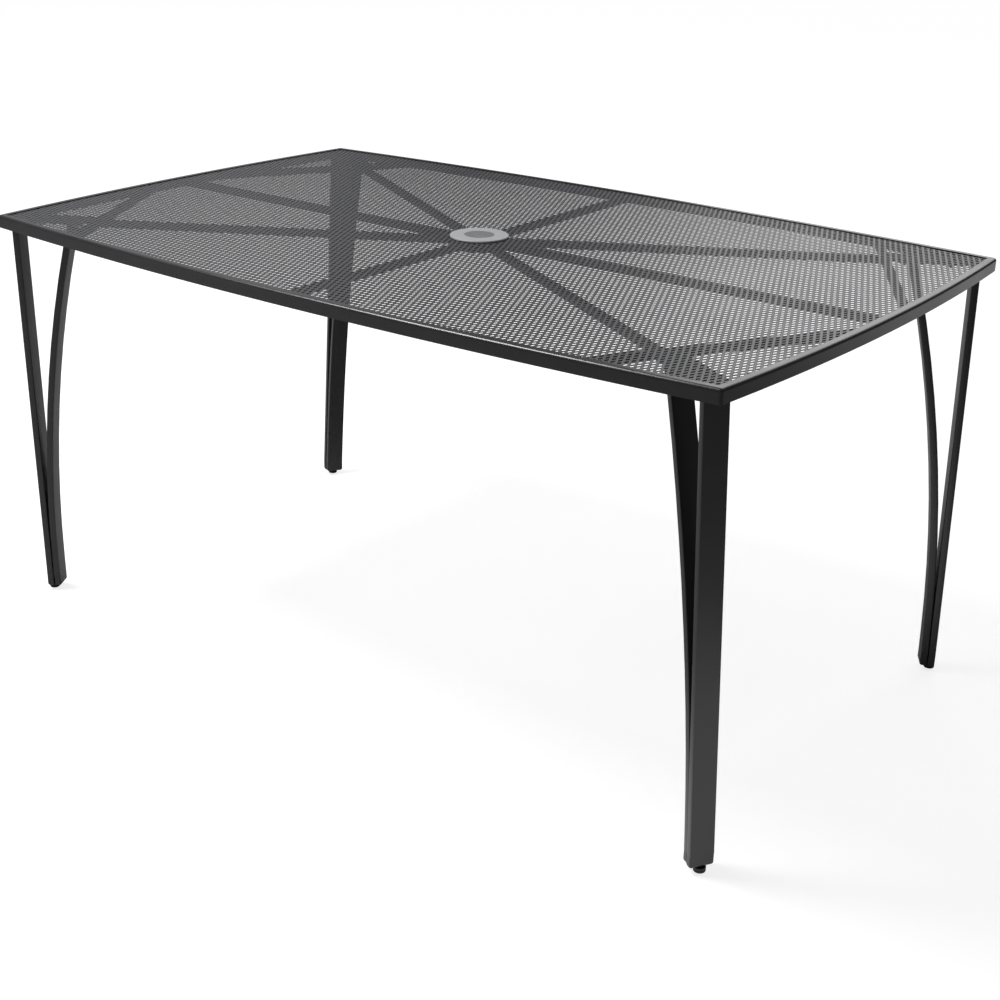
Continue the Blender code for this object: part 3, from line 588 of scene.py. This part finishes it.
def build_fine_mesh(material):
    """Expanded metal sheet under the rim's flange, with the hole for the umbrella ring."""
    low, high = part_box("top_mesh")
    points, faces = lattice_strands(low.z, high.z, high.x + DIAMOND_X, high.y + DIAMOND_Y)
    mesh = new_mesh("expanded_mesh", points, faces)
    work = bmesh.new()
    work.from_mesh(mesh)
    bmesh.ops.recalc_face_normals(work, faces=work.faces)
    work.to_mesh(mesh)
    work.free()
    sheet = add_piece("expanded_mesh", mesh, material, "mesh_coat", "root", "top_mesh")
    bottom, top = low.z - CUT_PAST, high.z + CUT_PAST
    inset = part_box("rim_right")[1].x - high.x
    apply_boolean(sheet, prism("sheet_outline", top_outline(inset), bottom, top), "INTERSECT")
    hub = arc(0.0, 0.0, MESH_HUB_RADIUS, 0, 360, ROUND_STEPS // 2)[:-1]
    apply_boolean(sheet, prism("hub_hole", hub, bottom, top), "DIFFERENCE")
    set_material(sheet.data, material)


def build_ring(material):
    """Umbrella ring: soft outer edge, a seat for the plug and a sleeve below."""
    low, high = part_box("umbrella_ring")
    rim, top = high.x, high.z
    under, seat = top - RING_FLANGE, top - RING_SEAT_DEPTH
    sleeve = RING_BORE + RING_WALL
    profile = arc(rim - RING_LOWER_EDGE, under + RING_LOWER_EDGE, RING_LOWER_EDGE, -90, 0, 2)
    profile += arc(rim - RING_EDGE, top - RING_EDGE, RING_EDGE, 0, 90, 8)
    profile += arc(RING_SEAT_RADIUS + RING_SEAT_EDGE, top - RING_SEAT_EDGE, RING_SEAT_EDGE, 90, 180, 3)
    profile += [(RING_SEAT_RADIUS, seat), (RING_BORE + RING_BORE_EDGE, seat)]
    profile += arc(RING_BORE + RING_BORE_EDGE, seat - RING_BORE_EDGE, RING_BORE_EDGE, 90, 180, 2)
    profile += [(RING_BORE, low.z), (sleeve - RING_LEAD_IN[0], low.z), (sleeve, low.z + RING_LEAD_IN[1])]
    profile += [(sleeve, under)]
    build_turned("ring_moulding", profile, (0.0, 0.0), material, "ring_plastic", "root", "umbrella_ring")


def build_plug(material):
    """Plug: nearly flat lid with a soft edge and a shallow finger dish, and a skirt below."""
    low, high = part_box("umbrella_plug")
    flange, top = high.x, high.z
    under = top - PLUG_LID
    profile = [(radius, top - depth) for radius, depth in PLUG_DISH]
    profile += arc(flange - PLUG_EDGE, top - PLUG_EDGE, PLUG_EDGE, 90, 0, 4)
    profile += [(flange, under), (PLUG_SKIRT, under), (PLUG_SKIRT, low.z + PLUG_LEAD_IN[1])]
    profile += [(PLUG_SKIRT - PLUG_LEAD_IN[0], low.z), (PLUG_SKIRT - PLUG_WALL, low.z)]
    profile += [(PLUG_SKIRT - PLUG_WALL, under), (0.0, under)]
    build_turned("plug_moulding", profile, (0.0, 0.0), material, "plug_plastic", "plug", "umbrella_plug")


def rounded_corners(left, right, half_height, radius):
    """Rectangle with round corners, anticlockwise from its upper right one."""
    points = []
    for sx, sy, start in ((1, 1, 0), (-1, 1, 90), (-1, -1, 180), (1, -1, 270)):
        cx = right - radius if sx > 0 else left + radius
        points += arc(cx, sy * (half_height - radius), radius, start, start + 90, CORNER_STEPS)
    return points


def foot_section(inset):
    """Outline of both tubes' ends side by side, inset on the outside but not in their grooves."""
    half = 2 * (CORNER_STEPS + 1)
    outer = rounded_corners(TUBE_GROOVE / 2, TUBE_THICKNESS + TUBE_GROOVE / 2 - inset,
                            OUTER_TUBE_WIDTH / 2 - inset, TUBE_RADIUS)
    inner = rounded_corners(inset - TUBE_THICKNESS - TUBE_GROOVE / 2, -TUBE_GROOVE / 2,
                            INNER_TUBE_WIDTH / 2 - inset, TUBE_RADIUS)
    return outer[half:] + outer[:half] + inner


def leg_directions(corner):
    """Directions in plan along a leg's spread and across it."""
    sx, sy = CORNERS[corner]
    out = Vector((sx * SPREAD[0], sy * SPREAD[1], 0.0)).normalized()
    return out, Vector((-out.y, out.x, 0.0))


def build_foot(corner, material):
    """End of a leg: both tubes closed by one plug, ground round at the bottom."""
    node, name = "foot_block_" + corner, "leg_end_" + corner
    low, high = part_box(node)
    glide_low, glide_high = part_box("glide_" + corner)
    centre = (glide_low + glide_high) / 2
    out, aside = leg_directions(corner)
    middle = Vector((centre.x, centre.y, 0.0)) - out * (TUBE_THICKNESS + TUBE_GROOVE) / 2
    levels = [(FOOT_ROUNDING * (1 - math.cos(angle)), low.z + FOOT_ROUNDING * (1 - math.sin(angle)))
              for angle in (math.pi / 2 * k / FOOT_STEPS for k in range(FOOT_STEPS, -1, -1))]
    levels.append((0.0, high.z + TUBE_GROOVE))
    points = []
    for inset, level in levels:
        for x, y in foot_section(inset):
            points.append(middle + out * x + aside * y + Vector((0.0, 0.0, level)))
    faces = sweep_faces(len(foot_section(0.0)), len(levels))
    piece = add_piece(name, new_mesh(name, points, faces), material, "frame_coat", "root", node)
    bore = arc(centre.x, centre.y, GLIDE_STUD_RADIUS + GLIDE_PLAY, 0, 360, BORE_STEPS)[:-1]
    cutter = prism("glide_bore", bore, low.z - CUT_PAST, glide_high.z + 2 * GLIDE_PLAY)
    apply_boolean(piece, cutter, "DIFFERENCE")
    piece.data = shade_round(piece.data.copy())
    piece.data.name = name
    set_material(piece.data, material)


def add_bead(points, faces, start, end):
    """One weld bead: a rippled round ridge between two points, tapered at both ends."""
    along = (end - start).normalized()
    length = (end - start).length
    aside = along.orthogonal().normalized()
    other = along.cross(aside)
    rings = max(int(length / WELD_STEP), WELD_FEWEST)
    faces += sweep_faces(WELD_SIDES, rings + 1, len(points))
    for k in range(rings + 1):
        place = k / rings
        taper = math.sqrt(max(1.0 - abs(2 * place - 1) ** WELD_TAPER, WELD_TIP))
        reach = WELD_RADIUS * taper * (1.0 if k % 2 else WELD_RIPPLE)
        for j in range(WELD_SIDES):
            angle = math.tau * j / WELD_SIDES
            offset = aside * math.cos(angle) + other * math.sin(angle)
            points.append(start + along * (place * length) + offset * reach)


def add_welds(name, lines, material):
    """Weld beads along several lines, as one piece."""
    points, faces = [], []
    for start, end in lines:
        add_bead(points, faces, start, end)
    add_piece(name, shade_round(new_mesh(name, points, faces), WELD_SMOOTH), material, "frame_coat", "root")


def tube_end_lines(node, out, aside):
    """Weld lines on the four sides of a leg tube's upper end, read off its CAD mesh."""
    piece = nodes[node]
    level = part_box(node)[1].z - WELD_RADIUS / 2
    near = [piece.matrix_world @ vertex.co for vertex in piece.data.vertices]
    near = [point for point in near if abs(point.z - level) < WELD_READ]
    spans = [(min(p.dot(axis) for p in near), max(p.dot(axis) for p in near)) for axis in (out, aside)]
    corners = [out * spans[0][a] + aside * spans[1][b] + Vector((0.0, 0.0, level))
               for a, b in ((0, 0), (1, 0), (1, 1), (0, 1))]
    lines = []
    for start, end in zip(corners, corners[1:] + corners[:1]):
        margin = (end - start) * WELD_MARGIN
        lines.append((start + margin, end - margin))
    return lines


def build_leg_welds(corner, material):
    """Welds of a leg's tubes to its plate, and of its brace to the rails and the diagonal spoke."""
    sx, sy = CORNERS[corner]
    out, aside = leg_directions(corner)
    lines = []
    for tube in ("leg_outer_", "leg_inner_"):
        lines += tube_end_lines(tube + corner, out, aside)
    add_welds("leg_welds_" + corner, lines, material)
    low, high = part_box("brace_" + corner)
    level = Vector((0.0, 0.0, low.z + WELD_RADIUS / 3))
    middle = out * (BRACE_DISTANCE - BAR_SIZE / 2 - WELD_RADIUS / 3) + level
    half = aside * BAR_SIZE * WELD_BAR_SHARE
    lines = [(middle - half, middle + half)]
    for way in (-1, 1):
        ends = []
        for edge in (-1, 1):
            start = out * BRACE_DISTANCE + out * BAR_SIZE / 2 * edge
            if way * sx * sy < 0:
                reach = (sx * (high.x if sx > 0 else low.x) - sx * start.x) / (sx * aside.x * way)
            else:
                reach = (sy * (high.y if sy > 0 else low.y) - sy * start.y) / (sy * aside.y * way)
            ends.append(start + aside * way * (reach - BAR_SIZE * WELD_BRACE_IN) + level)
        lines.append(tuple(ends))
    add_welds("brace_welds_" + corner, lines, material)


def build_spoke_welds(material):
    """Welds of the straight spokes to the rails."""
    lines = []
    for which, sx, sy in (("left", -1, 0), ("right", 1, 0), ("front", 0, -1), ("back", 0, 1)):
        low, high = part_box("spoke_" + which)
        aside = Vector((-sy, sx, 0.0)) * BAR_SIZE * WELD_BAR_SHARE
        tip = max(abs(low.x), abs(high.x)) if sx else max(abs(low.y), abs(high.y))
        end = Vector((sx, sy, 0.0)) * (tip - WELD_RADIUS / 2) + Vector((0.0, 0.0, low.z + WELD_RADIUS / 3))
        lines.append((end - aside, end + aside))
    add_welds("spoke_welds", lines, material)


def build_glide(corner, material):
    """Levelling glide: moulded pad with a soft foot and a groove, and a threaded stud."""
    node = "glide_" + corner
    low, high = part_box(node)
    middle = ((low.x + high.x) / 2, (low.y + high.y) / 2)
    pad, stud, neck = (high.y - low.y) / 2, GLIDE_STUD_RADIUS, GLIDE_STUD_RADIUS - GLIDE_THREAD
    profile = [(0.0, high.z), (stud - GLIDE_CHAMFER, high.z)]
    for k in range(int((high.z - GLIDE_PAD_HEIGHT - GLIDE_NECK) / GLIDE_PITCH)):
        level = high.z - GLIDE_NECK / 2 - k * GLIDE_PITCH
        profile.append((neck, level))
        profile += [(stud, level - share * GLIDE_PITCH) for share in GLIDE_CREST]
    profile += [(neck, GLIDE_PAD_HEIGHT + GLIDE_RELIEF), (stud, GLIDE_PAD_HEIGHT)]
    profile += arc(pad - GLIDE_PAD_EDGE, GLIDE_PAD_HEIGHT - GLIDE_PAD_EDGE, GLIDE_PAD_EDGE, 90, 0, 4)
    profile += [(pad - depth, level) for level, depth in GLIDE_GROOVE]
    profile += arc(pad - GLIDE_FOOT_EDGE, low.z + GLIDE_FOOT_EDGE, GLIDE_FOOT_EDGE, 0, -90, 5)
    profile += [(0.0, low.z)]
    build_turned("levelling_" + node, profile, middle, material, "glide_plastic", "foot_" + corner, node)


def add_area(name, place, target, size_x, size_y, power):
    """Rectangular soft box aimed at a point."""
    data = bpy.data.lights.new(name, "AREA")
    data.shape = "RECTANGLE"
    data.size, data.size_y = size_x, size_y
    data.energy = power
    lamp = bpy.data.objects.new(name, data)
    scene.collection.objects.link(lamp)
    z_axis = (Vector(place) - Vector(target)).normalized()
    x_axis = Vector((0.0, 1.0, 0.0)).cross(z_axis).normalized()
    turn = Matrix.Identity(4)
    turn.col[0].xyz = x_axis
    turn.col[1].xyz = z_axis.cross(x_axis)
    turn.col[2].xyz = z_axis
    turn.col[3].xyz = place
    lamp.matrix_world = turn


def add_world():
    """White for the camera; dim grey for everything that the world lights."""
    world = bpy.data.worlds.new("studio")
    scene.world = world
    world.use_nodes = True
    tree = world.node_tree
    tree.nodes.clear()
    output = tree.nodes.new("ShaderNodeOutputWorld")
    rays = tree.nodes.new("ShaderNodeLightPath")
    white = tree.nodes.new("ShaderNodeBackground")
    white.inputs["Strength"].default_value = 1.0
    white.inputs["Color"].default_value = (1.0, 1.0, 1.0, 1.0)
    dim = tree.nodes.new("ShaderNodeBackground")
    dim.inputs["Color"].default_value = WORLD_DIM
    dim.inputs["Strength"].default_value = 1.0
    mixer = tree.nodes.new("ShaderNodeMixShader")
    tree.links.new(rays.outputs["Is Camera Ray"], mixer.inputs[0])
    tree.links.new(dim.outputs[0], mixer.inputs[1])
    tree.links.new(white.outputs[0], mixer.inputs[2])
    tree.links.new(mixer.outputs[0], output.inputs["Surface"])


def combine(tree, operation, first, second):
    """Sum or product of two value sockets."""
    made = tree.nodes.new("ShaderNodeMath")
    made.operation = operation
    tree.links.new(first, made.inputs[0])
    tree.links.new(second, made.inputs[1])
    return made.outputs[0]


def glow(tree, strength):
    """White emission of a strength socket."""
    made = tree.nodes.new("ShaderNodeEmission")
    tree.links.new(strength, made.inputs["Strength"])
    return made.outputs[0]


def add_shaders(tree, first, second):
    """Sum of two shader sockets."""
    made = tree.nodes.new("ShaderNodeAddShader")
    tree.links.new(first, made.inputs[0])
    tree.links.new(second, made.inputs[1])
    return made.outputs[0]


def distance_from(tree, place, middle):
    """Distance of a place from a point."""
    made = tree.nodes.new("ShaderNodeVectorMath")
    made.operation = "DISTANCE"
    made.inputs[1].default_value = middle
    tree.links.new(place, made.inputs[0])
    return made.outputs["Value"]


def fade(tree, place, middle, radii, strengths):
    """Strength that changes with the distance from a point, between two radii."""
    return remap(tree, distance_from(tree, place, middle), *radii, *strengths)


def add_floor():
    """Pale floor that keeps the table's shadow and fades to white for the camera, clear from below."""
    reach = FLOOR_REACH
    mesh = new_mesh("floor", [(-reach, -reach, 0), (reach, -reach, 0), (reach, reach, 0), (-reach, reach, 0)],
                    [(0, 1, 2, 3)])
    floor = bpy.data.objects.new("floor", mesh)
    scene.collection.objects.link(floor)
    material, tree, output = new_material("floor_paint")
    rays = tree.nodes.new("ShaderNodeLightPath")
    camera_ray, glossy_ray = rays.outputs["Is Camera Ray"], rays.outputs["Is Glossy Ray"]
    place = tree.nodes.new("ShaderNodeTexCoord").outputs["Object"]
    paint = tree.nodes.new("ShaderNodeBsdfDiffuse")
    direct = combine(tree, "ADD", camera_ray, glossy_ray)
    tree.links.new(mix_colour(tree, direct, FLOOR_PAINT, FLOOR_PAINT_SEEN), paint.inputs["Color"])
    white = fade(tree, place, (0.0, 0.0, 0.0), FLOOR_FADE, (FLOOR_NEAR, FLOOR_FAR))
    # painted reflections: glow on the floor that only glossy rays see, near the table and far behind it
    mirror_glow = combine(tree, "ADD", fade(tree, place, *NEAR_MIRROR_GLOW), fade(tree, place, *FAR_MIRROR_GLOW))
    top = add_shaders(tree, paint.outputs[0], glow(tree, combine(tree, "MULTIPLY", white, camera_ray)))
    top = add_shaders(tree, top, glow(tree, combine(tree, "MULTIPLY", mirror_glow, glossy_ray)))
    side = tree.nodes.new("ShaderNodeNewGeometry")
    clear = tree.nodes.new("ShaderNodeBsdfTransparent")
    one_sided = tree.nodes.new("ShaderNodeMixShader")
    tree.links.new(side.outputs["Backfacing"], one_sided.inputs[0])
    tree.links.new(top, one_sided.inputs[1])
    tree.links.new(clear.outputs[0], one_sided.inputs[2])
    tree.links.new(one_sided.outputs[0], output.inputs["Surface"])
    mesh.materials.append(material)


def add_studio():
    """World, floor and soft boxes."""
    add_world()
    add_floor()
    for name, box in SOFT_BOXES.items():
        add_area(name, *box)


def build_table():
    """Every visible piece of the table in its finish."""
    frame_coat = coated("frame_coat", *FRAME_COAT)
    mesh_coat = coated("mesh_coat", *MESH_COAT)
    ring_plastic = moulded("ring_plastic", *RING_PLASTIC)
    plug_plastic = moulded("plug_plastic", *PLUG_PLASTIC)
    glide_plastic = moulded("glide_plastic", *GLIDE_PLASTIC)
    zinc = plated("zinc_steel")
    build_fine_mesh(mesh_coat)
    build_ring(ring_plastic)
    build_plug(plug_plastic)
    for which in ("front", "back", "left", "right"):
        build_rim(which, frame_coat)
    for corner in CORNERS:
        build_foot(corner, frame_coat)
        build_glide(corner, glide_plastic)
    for corner in CORNERS:
        build_leg_welds(corner, frame_coat)
    build_spoke_welds(frame_coat)
    for node in sorted(nodes):
        if node.startswith("leg_nut"):
            build_skin(node, zinc, "zinc_steel")
        elif not node.startswith(("rim_", "glide_", "foot_block_", "umbrella_", "top_mesh")):
            build_skin(node, frame_coat, "frame_coat")


add_camera()
add_studio()
build_table()
